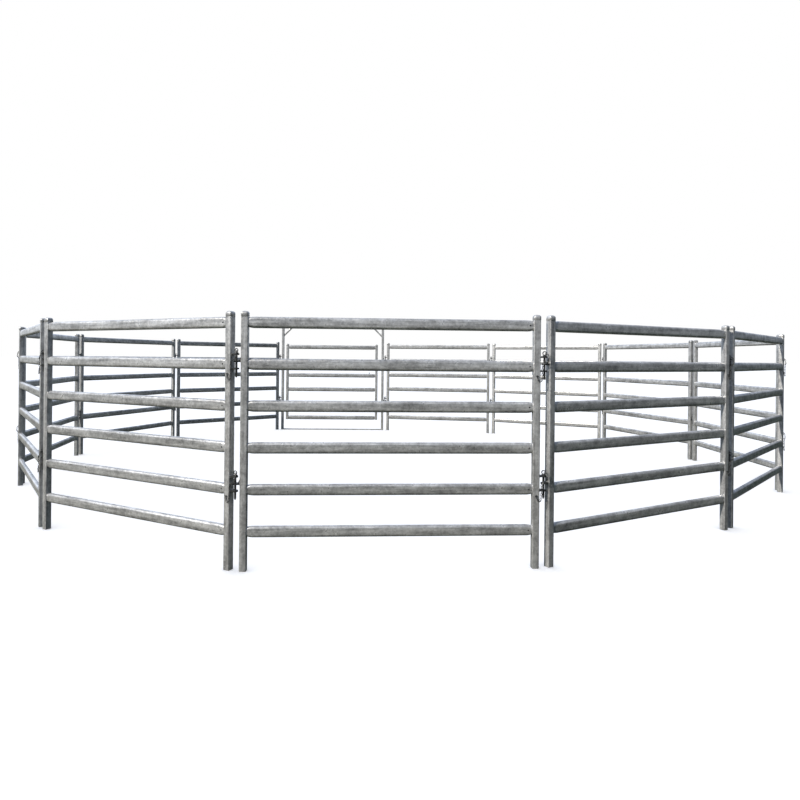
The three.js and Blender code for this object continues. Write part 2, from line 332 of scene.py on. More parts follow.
def eye_plate(skin, centre, root_way, normal, radius, hole, reach, thickness, steps=40):
    """Plate with a round nose around a hole, and a square end that reaches to what carries it."""
    side = normal.cross(root_way)
    h, e = thickness / 2, PLATE_EDGE
    rings = []
    for i in range(steps):
        angle = 2 * math.pi * (i + 0.5) / steps
        c, s = math.cos(angle), math.sin(angle)
        outer = radius if c <= 0 else min(reach / c, radius / max(abs(s), 1e-6))
        way = root_way * c + side * s
        section = ((hole, e - h), (hole + e, -h), (outer - e, -h), (outer, e - h),
                   (outer, h - e), (outer - e, h), (hole + e, h), (hole, h - e))
        rings.append([centre + way * r + normal * z for r, z in section])
    skin.loft(rings, loop=True)


def turned(skin, centre, axis, profile, steps=24):
    """Surface of revolution from (radius, height) pairs, closed at both ends."""
    side = axis.orthogonal().normalized()
    other = axis.cross(side)
    circle = arc((0, 0), 1, 0, 2 * math.pi * (1 - 1 / steps), steps - 1)
    rings = []
    for radius, height in profile:
        foot = centre + axis * height
        rings.append([foot + (side * u + other * v) * radius for u, v in circle])
    skin.loft(rings)


def swept(skin, path, radii, loop, section=8):
    """Round wire along points, with a radius at each."""
    rings = []
    count = len(path)
    side = None
    for i, point in enumerate(path):
        before = path[i - 1] if loop or i else point
        after = path[(i + 1) % count] if loop or i < count - 1 else point
        along = (after - before).normalized()
        side = along.orthogonal() if side is None else side - along * side.dot(along)
        side.normalize()
        other = along.cross(side)
        circle = arc((0, 0), radii[i], 0, 2 * math.pi * (1 - 1 / section), section - 1)
        rings.append(placed(circle, point, side, other))
    skin.loft(rings, loop)


def resampled(points, step):
    """Points at nearly even steps along a line, with its first and last point among them."""
    lengths = [0.0]
    for a, b in zip(points, points[1:]):
        lengths.append(lengths[-1] + (b - a).length)
    count = max(2, round(lengths[-1] / step))
    found = []
    k = 0
    for i in range(count + 1):
        distance = lengths[-1] * i / count
        while k < len(points) - 2 and lengths[k + 1] < distance:
            k += 1
        share = (distance - lengths[k]) / max(lengths[k + 1] - lengths[k], 1e-9)
        found.append(points[k].lerp(points[k + 1], share))
    return found


def weld(skin, path, loop=False, radius=WELD_RADIUS):
    """Rippled weld bead along points."""
    points = resampled(path + path[:1] if loop else path, WELD_STEP)
    points = points[:-1] if loop else points
    quick, slow = WELD_RIPPLE_TURNS
    radii = []
    for i in range(len(points)):
        radii.append(radius * (1 + WELD_RIPPLE * math.sin(quick * i) * math.cos(slow * i)))
    swept(skin, points, radii, loop, section=6)


# --- Tubes and caps -----------------------------------------------------------------------------

def post(skin, x, bottom, top):
    """Square upright tube at x."""
    tube_bar(skin, Vector((x, 0, bottom)), Vector((x, 0, top)), X, POST_WIDTH, POST_WIDTH, POST_ROUND)


def post_cap(skin, x, top):
    """Cap over a post's end: a skirt with a rolled lip, and a low dome."""
    def ring(width, z):
        radius = min(CAP_ROUND, width / 2 * CAP_ROUND_SHARE)
        return placed(rounded_outline(width, width, radius), Vector((x, 0, z)), X, Y)

    shoulder = top - CAP_DOME
    foot = shoulder - CAP_SKIRT
    rings = [
        ring(POST_WIDTH - CAP_LIP, foot),
        ring(CAP_WIDTH - CAP_LIP / 2, foot),
        ring(CAP_WIDTH, foot + CAP_LIP / 2),
        ring(CAP_WIDTH, shoulder),
    ]
    for i in range(1, DOME_STEPS + 1):
        angle = math.pi / 2 * i / (DOME_STEPS + DOME_FLAT)
        width = CAP_WIDTH * math.cos(angle) ** DOME_POWER
        rings.append(ring(width, shoulder + CAP_DOME * math.sin(angle)))
    skin.loft(rings)


def rail_outline(height):
    """Flat-oval section of a rail."""
    return rounded_outline(RAIL_DEPTH, height, RAIL_ROUND, RAIL_STEPS)


def rail_stations(length):
    """Places along a rail with the height there: its ends are pressed in a little."""
    gain = RAIL_HEIGHT - RAIL_END_HEIGHT
    left = []
    for i in range(TAPER_STEPS + 1):
        share = i / TAPER_STEPS
        height = RAIL_END_HEIGHT + gain * math.sin(share * math.pi / 2)
        left.append((RAIL_TAPER * share - length / 2, height))
    return left + [(-x, height) for x, height in reversed(left)]


def vented_rail(length):
    """One flat-oval rail with its galvanising vent holes, along X around the origin."""
    skin = Skin()
    stations = rail_stations(length)
    skin.loft([placed(rail_outline(height), X * x, Y, Z) for x, height in stations])
    rail = bpy.data.objects.new("rail_blank", skin.mesh("rail_blank"))
    cutter = Skin()
    for side in (1, -1):
        mouth = X * (side * (length / 2 - VENT_FROM_END)) - Y * (side * VENT_START)
        depth = VENT_START - RAIL_DEPTH / 2 + VENT_DEPTH
        turned(cutter, mouth, Y * side, [(VENT_RADIUS, 0), (VENT_RADIUS, depth)])
    drill = bpy.data.objects.new("vent_drill", cutter.mesh("vent_drill"))
    for piece in (rail, drill):
        bpy.context.scene.collection.objects.link(piece)
    cut = rail.modifiers.new("vents", "BOOLEAN")
    cut.object = drill
    cut.operation = "DIFFERENCE"
    cut.solver = "EXACT"
    evaluated = rail.evaluated_get(bpy.context.evaluated_depsgraph_get())
    mesh = bpy.data.meshes.new_from_object(evaluated)
    for piece in (rail, drill):
        bpy.data.objects.remove(piece)
    return mesh


def rail_heights(lowest):
    """Middles of the rails, from the lowest up."""
    return [lowest + i * RAIL_PITCH for i in range(RAIL_COUNT)]


def rail_set(skin, left, right, lowest):
    """All the rails between two uprights."""
    mesh = vented_rail(right - left)
    for z in rail_heights(lowest):
        skin.take(mesh, Matrix.Translation(((left + right) / 2, 0, z)))


def rail_welds(skin, left, right, lowest):
    """Beads around both ends of every rail."""
    for z in rail_heights(lowest):
        for x in (left, right):
            weld(skin, placed(rail_outline(RAIL_END_HEIGHT), Vector((x, 0, z)), Y, Z), loop=True)


# --- Lugs ---------------------------------------------------------------------------------------

def lug(skin, x, z, side):
    """Level lug around a pin at x; side is +1 where its post is on the +X side."""
    eye_plate(skin, Vector((x, 0, z)), X * side, Z, LUG_RADIUS, LUG_HOLE, POST_TO_PIN, LUG_THICKNESS)


def lug_weld(skin, x, z, side):
    """Beads above and below a lug, along its post's face."""
    face = x + side * POST_TO_PIN
    for dz in (-LUG_THICKNESS / 2, LUG_THICKNESS / 2):
        ends = [Vector((face, y * LUG_RADIUS, z + dz)) for y in (-1, 1)]
        weld(skin, ends, radius=SMALL_WELD_RADIUS)


def gusset(skin, face, z):
    """Small upright triangle between a left-hand post's face and its lug."""
    foot = z + LUG_THICKNESS / 2
    outline = [(face - GUSSET_REACH, foot), (face, foot), (face, foot + GUSSET_HEIGHT)]
    prism(skin, outline, Vector((0, 0, 0)), X, Z, GUSSET_THICKNESS)


def staple(skin, z):
    """Small welded staple on the right-hand post, which holds the end of a chain."""
    left, right = POST_CENTRE - STAPLE_REACH, POST_CENTRE + STAPLE_REACH
    face = -POST_WIDTH / 2
    front = face - STAPLE_REACH
    corners = ((left, face), (left, front), (right, front), (right, face))
    path = [Vector((x, y, z)) for x, y in corners]
    swept(skin, path, [STAPLE_WIRE] * len(path), loop=False)


def bay_lugs(skin):
    """A bay's lugs: one at each level on its left end, and a pair on its right."""
    end = BAY_PITCH / 2
    for z in LUG_HEIGHTS.values():
        lug(skin, -end, z, 1)
        gusset(skin, POST_TO_PIN - end, z)
        lug(skin, end, z + LUG_SPREAD, -1)
        lug(skin, end, z - LUG_SPREAD, -1)
        staple(skin, z + STAPLE_HEIGHT)


def bay_lug_welds(skin):
    """Beads of all the lugs of a bay."""
    end = BAY_PITCH / 2
    for z in LUG_HEIGHTS.values():
        lug_weld(skin, -end, z, 1)
        lug_weld(skin, end, z + LUG_SPREAD, -1)
        lug_weld(skin, end, z - LUG_SPREAD, -1)


# --- Pins and chains ----------------------------------------------------------------------------

def drop_pin_mesh(*materials):
    """Drop pin around the middle of its lug set, with a collar and a lifting eye."""
    skin = Skin()
    top = PIN_SEAT + COLLAR_HEIGHT
    e = PLATE_EDGE
    tip, nose = [PIN_RADIUS * share for share in PIN_TIP_SHARES]
    shoulder, crown = [PIN_RADIUS * share for share in PIN_TOP_SHARES]
    turned(skin, Vector(), Z, [
        (tip, PIN_TIP), (nose, PIN_TIP + e), (PIN_RADIUS, PIN_TIP + PIN_POINT),
        (PIN_RADIUS, PIN_SEAT), (COLLAR_RADIUS - e, PIN_SEAT), (COLLAR_RADIUS, PIN_SEAT + e),
        (COLLAR_RADIUS, top - e), (COLLAR_RADIUS - e, top), (PIN_RADIUS, top),
        (shoulder, top + 2 * e), (crown, top + 3 * e),
    ])
    last = 2 * math.pi * (EYE_STEPS - 1) / EYE_STEPS
    circle = arc((0, EYE_HEIGHT), EYE_RADIUS, 0, last, EYE_STEPS - 1)
    path = [Vector((u, 0, v)) for u, v in circle]
    swept(skin, path, [EYE_WIRE] * len(path), loop=True, section=10)
    return skin.mesh("drop_pin", *materials)


def chain_link(skin, centre, along, across):
    """Oval wire link."""
    radius = LINK_WIDTH / 2 - LINK_WIRE
    straight = LINK_LENGTH / 2 - LINK_WIRE - radius
    half = math.pi / 2
    outline = arc((straight, 0), radius, -half, half, LINK_STEPS)
    outline += arc((-straight, 0), radius, half, 3 * half, LINK_STEPS)
    path = placed(outline, centre, along, across)
    swept(skin, path, [LINK_WIRE] * len(path), loop=True, section=6)


def smooth_line(points, steps=8):
    """Catmull-Rom curve through points, as many short straights."""
    found = []
    last = len(points) - 1
    for i in range(last):
        p0, p1 = points[max(i - 1, 0)], points[i]
        p2, p3 = points[i + 1], points[min(i + 2, last)]
        for k in range(steps):
            t = k / steps
            found.append(0.5 * (2 * p1 + (p2 - p0) * t + (2 * p0 - 5 * p1 + 4 * p2 - p3) * t * t
                                + (3 * p1 - p0 - 3 * p2 + p3) * t ** 3))
    return found + [points[last]]


def chain_mesh(matrix, *materials):
    """Chain from a pin's eye to the staple on the post, each link turned a quarter from the last."""
    skin = Skin()
    route = smooth_line([matrix @ Vector(p) for p in CHAIN_ROUTE])
    centres = resampled(route, LINK_PITCH)
    last = len(centres) - 1
    outward = matrix.to_3x3() @ -Y
    for i, centre in enumerate(centres):
        along = (centres[min(i + 1, last)] - centres[max(i - 1, 0)]).normalized()
        flat = along.cross(outward).normalized()
        across = flat if i % 2 else along.cross(flat)
        chain_link(skin, centre, along, across)
    return skin.mesh("pin_chain", *materials)


# --- The gate -----------------------------------------------------------------------------------

def corner_brace(skin, side):
    """Square tube at 45 degrees, its ends cut flush with the post and the header."""
    face = side * POST_INNER
    under = FRAME_HEIGHT - HEADER_HEIGHT
    way = Vector((-side, 0, 1)).normalized()
    cross = Vector((side, 0, 1)).normalized()
    middle = Vector((face - side * BRACE_LEG / 2, 0, under - BRACE_LEG / 2))
    outline = rounded_outline(BRACE_WIDTH, BRACE_WIDTH, BRACE_ROUND, 4)
    at_post = []
    at_header = []
    for point in placed(outline, middle, Y, cross):
        at_post.append(point + way * ((face - point.x) / way.x))
        at_header.append(point + way * ((under - point.z) / way.z))
    skin.loft([at_post, at_header])
    return at_post, at_header


def bolt_ear(skin, x):
    """Upright ear that guides the latch bolt, on the outer side."""
    reach = BOLT_OFFSET - LATCH_PLATE_FACE
    eye_plate(skin, Vector((x, -BOLT_OFFSET, LATCH_HEIGHT)), Y, X, BOLT_EAR_RADIUS, BOLT_HOLE, reach,
              LUG_THICKNESS)


def gate_frame_mesh(posts, rails, plates, welds):
    """Two tall posts, header, sill and braces, with lugs for the leaf and for the next bays."""
    skin = Skin()
    for side in (-1, 1):
        post(skin, side * POST_CENTRE, 0, FRAME_HEIGHT)
    skin.slot = 1
    header = FRAME_HEIGHT - HEADER_HEIGHT / 2
    tube_bar(skin, Vector((-POST_INNER, 0, header)), Vector((POST_INNER, 0, header)), Y,
             POST_WIDTH, HEADER_HEIGHT, POST_ROUND)
    sill = SILL_HEIGHT / 2
    tube_bar(skin, Vector((-POST_INNER, 0, sill)), Vector((POST_INNER, 0, sill)), Y,
             SILL_DEPTH, SILL_HEIGHT, SILL_ROUND)
    brace_ends = [end for side in (-1, 1) for end in corner_brace(skin, side)]
    skin.slot = 2
    for z in HINGE_HEIGHTS.values():
        for dz in (-HINGE_SPREAD, HINGE_SPREAD):
            eye_plate(skin, Vector((HINGE_AXIS, 0, z + dz)), X, Z, HINGE_RADIUS, LUG_HOLE,
                      HINGE_GAP / 2, LUG_THICKNESS)
    keeper = -POST_INNER - KEEPER_FROM_POST
    depth = LATCH_PLATE_FACE - POST_WIDTH / 2
    pad = rounded_outline(POST_WIDTH / 2, LATCH_PLATE_HEIGHT, KEEPER_ROUND)
    prism(skin, pad, Vector((keeper, -POST_WIDTH / 2 - depth / 2, LATCH_HEIGHT)), X, Z, depth)
    bolt_ear(skin, keeper)
    bay_lugs(skin)
    skin.slot = 3
    outline = rounded_outline(POST_WIDTH, HEADER_HEIGHT, POST_ROUND)
    for side in (-1, 1):
        weld(skin, placed(outline, Vector((side * POST_INNER, 0, header)), Y, Z), loop=True)
    for end in brace_ends:
        weld(skin, end, loop=True, radius=SMALL_WELD_RADIUS)
    bay_lug_welds(skin)
    return skin.mesh("gate_frame_tubes", posts, rails, plates, welds)


def gate_leaf_mesh(posts, rails, plates, welds):
    """Swinging leaf without its caps: stiles, rails, hinge eyes, latch plate and its ears."""
    skin = Skin()
    left, right = LEAF_LATCH_EDGE + POST_WIDTH, LEAF_HINGE_EDGE - POST_WIDTH
    for x in (left - POST_WIDTH / 2, right + POST_WIDTH / 2):
        post(skin, x, LEAF_BOTTOM, LEAF_TOP - CAP_DOME)
    skin.slot = 1
    rail_set(skin, left, right, LEAF_LOWEST_RAIL)
    skin.slot = 2
    for z in HINGE_HEIGHTS.values():
        eye_plate(skin, Vector((HINGE_AXIS, 0, z)), -X, Z, HINGE_RADIUS, LUG_HOLE, HINGE_GAP / 2,
                  HINGE_EYE_HEIGHT)
    depth = LATCH_PLATE_FACE - RAIL_DEPTH / 2
    plate = rounded_outline(LATCH_PLATE_LENGTH, LATCH_PLATE_HEIGHT, LATCH_PLATE_ROUND)
    middle = LEAF_LATCH_EDGE + LATCH_PLATE_LENGTH / 2
    prism(skin, plate, Vector((middle, -RAIL_DEPTH / 2 - depth / 2, LATCH_HEIGHT)), X, Z, depth)
    for position in BOLT_EAR_POSITIONS:
        bolt_ear(skin, LEAF_LATCH_EDGE + position)
    skin.slot = 3
    rail_welds(skin, left, right, LEAF_LOWEST_RAIL)
    return skin.mesh("gate_leaf_tubes", posts, rails, plates, welds)


def hinge_bolt_mesh(*materials):
    """Hexagon bolt and nut through a hinge, around the hinge's middle."""
    skin = Skin()
    e = PLATE_EDGE
    near, far = HINGE_SEAT, HINGE_SEAT + HINGE_HEAD_HEIGHT
    for side in (-1, 1):
        turned(skin, Vector(), Z * side, [
            (HINGE_HEAD_RADIUS - e, near), (HINGE_HEAD_RADIUS, near + e),
            (HINGE_HEAD_RADIUS, far - 2 * e), (HINGE_HEAD_RADIUS - 2 * e, far),
        ], steps=6)
    reach = HINGE_SEAT + HINGE_HEAD_HEIGHT * HINGE_PIN_INTO_HEAD
    turned(skin, Vector(), Z, [(HINGE_PIN_RADIUS, -reach), (HINGE_PIN_RADIUS, reach)])
    return skin.mesh("hinge_bolt", *materials)


def latch_bolt_mesh(*materials):
    """Slide bolt, drawn back, with a handle that leans up and outwards."""
    skin = Skin()
    e = 2 * PLATE_EDGE
    start = Vector((LEAF_LATCH_EDGE + BOLT_SET_BACK, -BOLT_OFFSET, LATCH_HEIGHT))
    turned(skin, start, X, [
        (BOLT_RADIUS - e, 0), (BOLT_RADIUS, e), (BOLT_RADIUS, BOLT_LENGTH - e),
        (BOLT_RADIUS - e, BOLT_LENGTH),
    ], steps=28)
    root = Vector((LEAF_LATCH_EDGE + HANDLE_POSITION, -BOLT_OFFSET, LATCH_HEIGHT))
    lean = (Z - Y).normalized()
    turned(skin, root, lean, [
        (HANDLE_RADIUS, 0), (HANDLE_RADIUS, HANDLE_LENGTH - 2 * e),
        (HANDLE_RADIUS - e, HANDLE_LENGTH - e / 2), (HANDLE_RADIUS - 2 * e, HANDLE_LENGTH),
    ])
    return skin.mesh("latch_bolt_rod", *materials)


# --- Panels -------------------------------------------------------------------------------------

def panel_mesh(posts, rails, plates, welds):
    """One panel without its caps: posts, rails, lugs and welds, each with its own material."""
    skin = Skin()
    for side in (-1, 1):
        post(skin, side * POST_CENTRE, 0, PANEL_HEIGHT - CAP_DOME)
    skin.slot = 1
    rail_set(skin, -POST_INNER, POST_INNER, LOWEST_RAIL)
    skin.slot = 2
    bay_lugs(skin)
    skin.slot = 3
    rail_welds(skin, -POST_INNER, POST_INNER, LOWEST_RAIL)
    bay_lug_welds(skin)
    return skin.mesh("panel_tubes", posts, rails, plates, welds)


def cap_pair_mesh(name, left, right, top, *materials):
    """The two caps of a panel or of the gate leaf."""
    skin = Skin()
    for x in (left, right):
        post_cap(skin, x, top)
    return skin.mesh(name, *materials)


# --- Materials ----------------------------------------------------------------------------------

# A noise is given as its scale in cells per metre, its detail and its roughness, and a range as the
# two values that become 0 and 1. A bump is given as its strength and its height in metres.
# The shares are of the light tone, and the two roughness values are added to a tube's own.
OBJECT_SHIFT = 17.0
CRYSTAL_SCALE = 85.0
CLOUD_NOISE = (12.0, 7.0, 0.70)
CLOUD_RANGE = (0.40, 0.62)
STREAK_NOISE = (1.0, 5.0, 0.65)
STREAK_RANGE = (0.38, 0.63)
CLOUD_SHARE = 0.38
STREAK_SHARE = 0.44
CRYSTAL_SHARE = 0.18
CRYSTAL_ROUGHNESS = 0.14
CLOUD_ROUGHNESS = -0.10
RIPPLE_NOISE = (45.0, 3.0)
RIPPLE_BUMP = (0.18, 0.002)
GRAIN_NOISE = (620.0, 2.0)
GRAIN_BUMP = (0.10, 0.0004)
PATCH_DETAIL = (6.0, 0.65)
PATCH_RANGE = (0.35, 0.65)
PATCH_ROUGHER = 0.12
PATCH_SMOOTHER = 0.06
SCALE_OF_PITS = 20
PIT_DETAIL = 3.0
PIT_BUMP = (0.25, 0.0006)


class Shader:
    """A Principled material being put together."""

    def __init__(self, name):
        self.material = bpy.data.materials.new(name)
        self.material.use_nodes = True
        self.tree = self.material.node_tree
        self.surface = self.tree.nodes["Principled BSDF"]

    def node(self, kind, inputs=None, **settings):
        """New node with its settings, and its inputs by name or number."""
        made = self.tree.nodes.new(kind)
        for key, value in settings.items():
            setattr(made, key, value)
        for key, value in (inputs or {}).items():
            self.set(made, key, value)
        return made

    def set(self, node, key, value):
        """Links an input to another node's output, or gives it a constant."""
        if isinstance(value, bpy.types.NodeSocket):
            self.tree.links.new(value, node.inputs[key])
        else:
            node.inputs[key].default_value = value

    def maths(self, operation, a, b=0.0):
        return self.node("ShaderNodeMath", {0: a, 1: b}, operation=operation).outputs[0]

    def ramp(self, value, low, high, into_low, into_high):
        """A range of values stretched onto another, and held at its ends."""
        inputs = {
            "Value": value, "From Min": low, "From Max": high, "To Min": into_low, "To Max": into_high,
        }
        return self.node("ShaderNodeMapRange", inputs).outputs["Result"]

    def mixed(self, share, a, b):
        """Colour a where the share is 0, and colour b where it is 1."""
        made = self.node("ShaderNodeMix", data_type="RGBA")
        for key, value in (("Factor_Float", share), ("A_Color", a), ("B_Color", b)):
            socket = next(s for s in made.inputs if s.identifier == key)
            if isinstance(value, bpy.types.NodeSocket):
                self.tree.links.new(value, socket)
            else:
                socket.default_value = value
        return next(s for s in made.outputs if s.identifier == "Result_Color")

    def place(self):
        """Object coordinates, shifted from one object to the next."""
        coordinates = self.node("ShaderNodeTexCoord").outputs["Object"]
        chance = self.node("ShaderNodeObjectInfo").outputs["Random"]
        shift = self.maths("MULTIPLY", chance, OBJECT_SHIFT)
        offset = self.node("ShaderNodeCombineXYZ", {"X": shift, "Y": shift, "Z": shift}).outputs[0]
        return self.node("ShaderNodeVectorMath", {0: coordinates, 1: offset}, operation="ADD").outputs[0]

    def stretched(self, place, scale):
        """A place with each of its axes scaled."""
        return self.node("ShaderNodeVectorMath", {0: place, 1: scale}, operation="MULTIPLY").outputs[0]

    def noise(self, place, scale, detail=4.0, roughness=0.55):
        inputs = {"Vector": place, "Scale": scale, "Detail": detail, "Roughness": roughness}
        return self.node("ShaderNodeTexNoise", inputs).outputs["Fac"]

    def spangle(self, place, scale):
        """One random number for each zinc crystal."""
        cells = self.node("ShaderNodeTexVoronoi", {"Vector": place, "Scale": scale, "Randomness": 1.0})
        return self.node("ShaderNodeSeparateColor", {0: cells.outputs["Color"]}).outputs[0]

    def bump(self, height, strength, distance, normal=None):
        inputs = {"Height": height, "Strength": strength, "Distance": distance}
        if normal is not None:
            inputs["Normal"] = normal
        return self.node("ShaderNodeBump", inputs).outputs[0]


def grey(value, warmth=0.0):
    """Opaque grey, with a little more red than blue where it is warm."""
    return (value * (1 + warmth), value, value * (1 - warmth), 1)


def galvanised(name, light, dark, streak, metallic, rough):
    """Hot-dip galvanised steel: zinc crystals, cloudy patches and streaks along the tube."""
    s = Shader(name)
    place = s.place()
    crystals = s.spangle(place, CRYSTAL_SCALE)
    clouds = s.ramp(s.noise(place, *CLOUD_NOISE), *CLOUD_RANGE, 0.0, 1.0)
    streaks = s.ramp(s.noise(s.stretched(place, streak), *STREAK_NOISE), *STREAK_RANGE, 0.0, 1.0)
    cloud_tone = s.maths("MULTIPLY", clouds, CLOUD_SHARE)
    streak_tone = s.maths("MULTIPLY", streaks, STREAK_SHARE)
    tone = s.maths("ADD", cloud_tone, streak_tone)
    tone = s.maths("ADD", tone, s.maths("MULTIPLY", crystals, CRYSTAL_SHARE))
    s.set(s.surface, "Base Color", s.mixed(tone, dark, light))
    s.set(s.surface, "Metallic", metallic)
    flecks = s.maths("MULTIPLY", crystals, CRYSTAL_ROUGHNESS)
    patches = s.maths("MULTIPLY", clouds, CLOUD_ROUGHNESS)
    s.set(s.surface, "Roughness", s.maths("ADD", s.maths("ADD", flecks, patches), rough))
    ripple = s.bump(s.noise(place, *RIPPLE_NOISE), *RIPPLE_BUMP)
    grain = s.bump(s.noise(place, *GRAIN_NOISE), *GRAIN_BUMP, ripple)
    s.set(s.surface, "Normal", grain)
    return s.material


def forged(name, light, dark, metallic, rough, scale=30.0):
    """Zinc-plated bar and plate with dull patches, given a dark base colour that is painted shade."""
    s = Shader(name)
    place = s.place()
    patches = s.ramp(s.noise(place, scale, *PATCH_DETAIL), *PATCH_RANGE, 0.0, 1.0)
    s.set(s.surface, "Base Color", s.mixed(patches, dark, light))
    s.set(s.surface, "Metallic", metallic)
    dull, bright = rough + PATCH_ROUGHER, rough - PATCH_SMOOTHER
    s.set(s.surface, "Roughness", s.ramp(patches, 0.0, 1.0, dull, bright))
    pits = s.noise(place, scale * SCALE_OF_PITS, PIT_DETAIL)
    s.set(s.surface, "Normal", s.bump(pits, *PIT_BUMP))
    return s.material


# Streaks, in cells per metre along each axis: long ones along the tube, and narrow across it.
ALONG_X = (2.2, 34.0, 34.0)
ALONG_Z = (34.0, 34.0, 2.2)
POST_ZINC = galvanised("post_zinc", grey(0.70, 0.01), grey(0.19, 0.01), ALONG_Z, 0.62, 0.38)
RAIL_ZINC = galvanised("rail_zinc", grey(0.73, 0.01), grey(0.17, 0.01), ALONG_X, 0.62, 0.35)
CAP_ZINC = galvanised("cap_zinc", grey(0.68, 0.01), grey(0.21, 0.01), ALONG_Z, 0.62, 0.38)
# Painted shade: lugs, pins, bolts and chains get near-black colours, darker than their zinc, standing
# for the shade they sit in.
PLATE_STEEL_PAINTED_SHADE = forged("plate_steel_painted_shade", grey(0.060), grey(0.018), 0.5, 0.48)
PIN_STEEL_PAINTED_SHADE = forged("pin_steel_painted_shade", grey(0.11), grey(0.03), 0.7, 0.40)
CHAIN_STEEL_PAINTED_SHADE = forged("chain_steel_painted_shade", grey(0.12), grey(0.035), 0.7, 0.42, 60.0)
WELD_ZINC = forged("weld_zinc", grey(0.50), grey(0.26), 0.7, 0.48, 70.0)


# --- Putting the pieces in their places ---------------------------------------------------------

def add_piece(name, mesh, matrix, body, node=None):
    """Puts a mesh in place on its body, and in the place of a CAD node if one is named."""
    piece = bpy.data.objects.new(name, mesh)
    bpy.context.scene.collection.objects.link(piece)
    piece.matrix_world = matrix
    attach(piece, body)
    if node:
        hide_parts(node)


def add_chain(number, level, matrix):
    """Chain from a pin's eye to the staple on the post, baked into place in world space."""
    set_matrix = matrix @ Matrix.Translation((BAY_PITCH / 2, 0, LUG_HEIGHTS[level]))
    mesh = chain_mesh(set_matrix, CHAIN_STEEL_PAINTED_SHADE)
    piece = bpy.data.objects.new(f"pin_chain_{number:02d}_{level}", mesh)
    bpy.context.scene.collection.objects.link(piece)
    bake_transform(piece)


def add_bays():
    """All thirteen bays, with the pins and chains at each one's right-hand end."""
    tubes = panel_mesh(POST_ZINC, RAIL_ZINC, PLATE_STEEL_PAINTED_SHADE, WELD_ZINC)
    caps = cap_pair_mesh("panel_caps", -POST_CENTRE, POST_CENTRE, PANEL_HEIGHT, CAP_ZINC)
    pin = drop_pin_mesh(PIN_STEEL_PAINTED_SHADE)
    for number in range(1, BAY_COUNT + 1):
        matrix = bay_matrix(number)
        body = bay_body(number)
        if number == GATE_BAY:
            add_gate(matrix)
        else:
            add_piece(f"{body}_tubes", tubes, matrix, body, body)
            add_piece(f"{body}_caps", caps, matrix, body)
        for level in PIN_LEVELS:
            node = f"drop_pin_{number:02d}_{level}"
            place = matrix @ Matrix.Translation((BAY_PITCH / 2, 0, LUG_HEIGHTS[level]))
            add_piece(f"lifting_pin_{number:02d}_{level}", pin, place, node, node)
            add_chain(number, level, matrix)


def add_gate(matrix):
    """The gate's bay: frame, leaf, hinge bolts and latch bolt."""
    tubes = gate_frame_mesh(POST_ZINC, RAIL_ZINC, PLATE_STEEL_PAINTED_SHADE, WELD_ZINC)
    add_piece("gate_frame_tubes", tubes, matrix, "gate_frame", "gate_frame")
    leaf = gate_leaf_mesh(POST_ZINC, RAIL_ZINC, PLATE_STEEL_PAINTED_SHADE, WELD_ZINC)
    add_piece("gate_leaf_tubes", leaf, matrix, "gate_leaf", "gate_leaf")
    ends = (LEAF_LATCH_EDGE + POST_WIDTH / 2, LEAF_HINGE_EDGE - POST_WIDTH / 2)
    caps = cap_pair_mesh("gate_leaf_caps", *ends, LEAF_TOP, CAP_ZINC)
    add_piece("gate_leaf_caps", caps, matrix, "gate_leaf")
    bolt = hinge_bolt_mesh(PIN_STEEL_PAINTED_SHADE)
    for level, z in HINGE_HEIGHTS.items():
        node = f"gate_hinge_pin_{level}"
        place = matrix @ Matrix.Translation((HINGE_AXIS, 0, z))
        add_piece(f"hinge_bolt_{level}", bolt, place, "gate_frame", node)
    rod = latch_bolt_mesh(PIN_STEEL_PAINTED_SHADE)
    add_piece("latch_bolt_rod", rod, matrix, "latch_bolt", "latch_bolt")


# --- Camera, light and floor --------------------------------------------------------------------

# The sensor's width and the lens are in millimetres, and the shift is a share of the picture.
SENSOR_WIDTH = 36.0
LENS = 27.4455
CAMERA_PLACE = Vector((-0.3360, -8.5059, 1.4796))
CAMERA_YAW = math.radians(3.307)
CAMERA_ROLL = math.radians(0.552)
HORIZON_SHIFT = -0.05175


def add_camera():
    """Level camera at eye height in front of the yard, with its picture shifted and a slight roll."""
    forward = Vector((math.sin(CAMERA_YAW), math.cos(CAMERA_YAW), 0))
    level = forward.cross(Z)
    right = level * math.cos(CAMERA_ROLL) + Z * math.sin(CAMERA_ROLL)
    up = Z * math.cos(CAMERA_ROLL) - level * math.sin(CAMERA_ROLL)
    data = bpy.data.cameras.new("camera")
    data.sensor_width = SENSOR_WIDTH
    data.lens = LENS
    data.shift_y = HORIZON_SHIFT
    camera = bpy.data.objects.new("camera", data)
    bpy.context.scene.collection.objects.link(camera)
    turn = Matrix((right, up, -forward)).transposed().to_4x4()
    camera.matrix_world = Matrix.Translation(CAMERA_PLACE) @ turn
    bpy.context.scene.camera = camera


# Sky: colours from straight down to straight up, and factors for the sides that are brighter or darker.
SKY = (
    (0.00, (0.022, 0.025, 0.010)),
    (0.49, (0.070, 0.077, 0.036)),
    (0.51, (0.440, 0.470, 0.500)),
    (0.60, (0.460, 0.545, 0.700)),
    (1.00, (0.400, 0.480, 0.640)),
)
SUN_SIDE_SKY = 1.35
FAR_SIDE_SKY = 0.45
BACK_SKY = 2.2
SUN_FROM = Vector((-0.66, -0.49, 0.58))
SUN_STRENGTH = 5.5
SUN_SPREAD = math.radians(2)
SUN_COLOUR = (1.0, 0.955, 0.87)
FLOOR_REACH = 400.0
FLOOR_WHITE = (0.86, 0.86, 0.86, 1)
FLOOR_GLOW = (1.0, 0.94, 0.84, 1)
# Painted contact shadow on the floor: its glow falls from the open value to the value near feet as
# ambient occlusion drops.
PAINTED_SHADOW_GLOW = 0.36
GLOW_IN_THE_OPEN = 0.68
PAINTED_SHADOW_REACH = 0.16
PAINTED_SHADOW_DARKEST_AO = 0.55
PAINTED_SHADOW_CLEAR_AO = 0.97
DULL_GROUND = (0.085, 0.094, 0.042, 1)


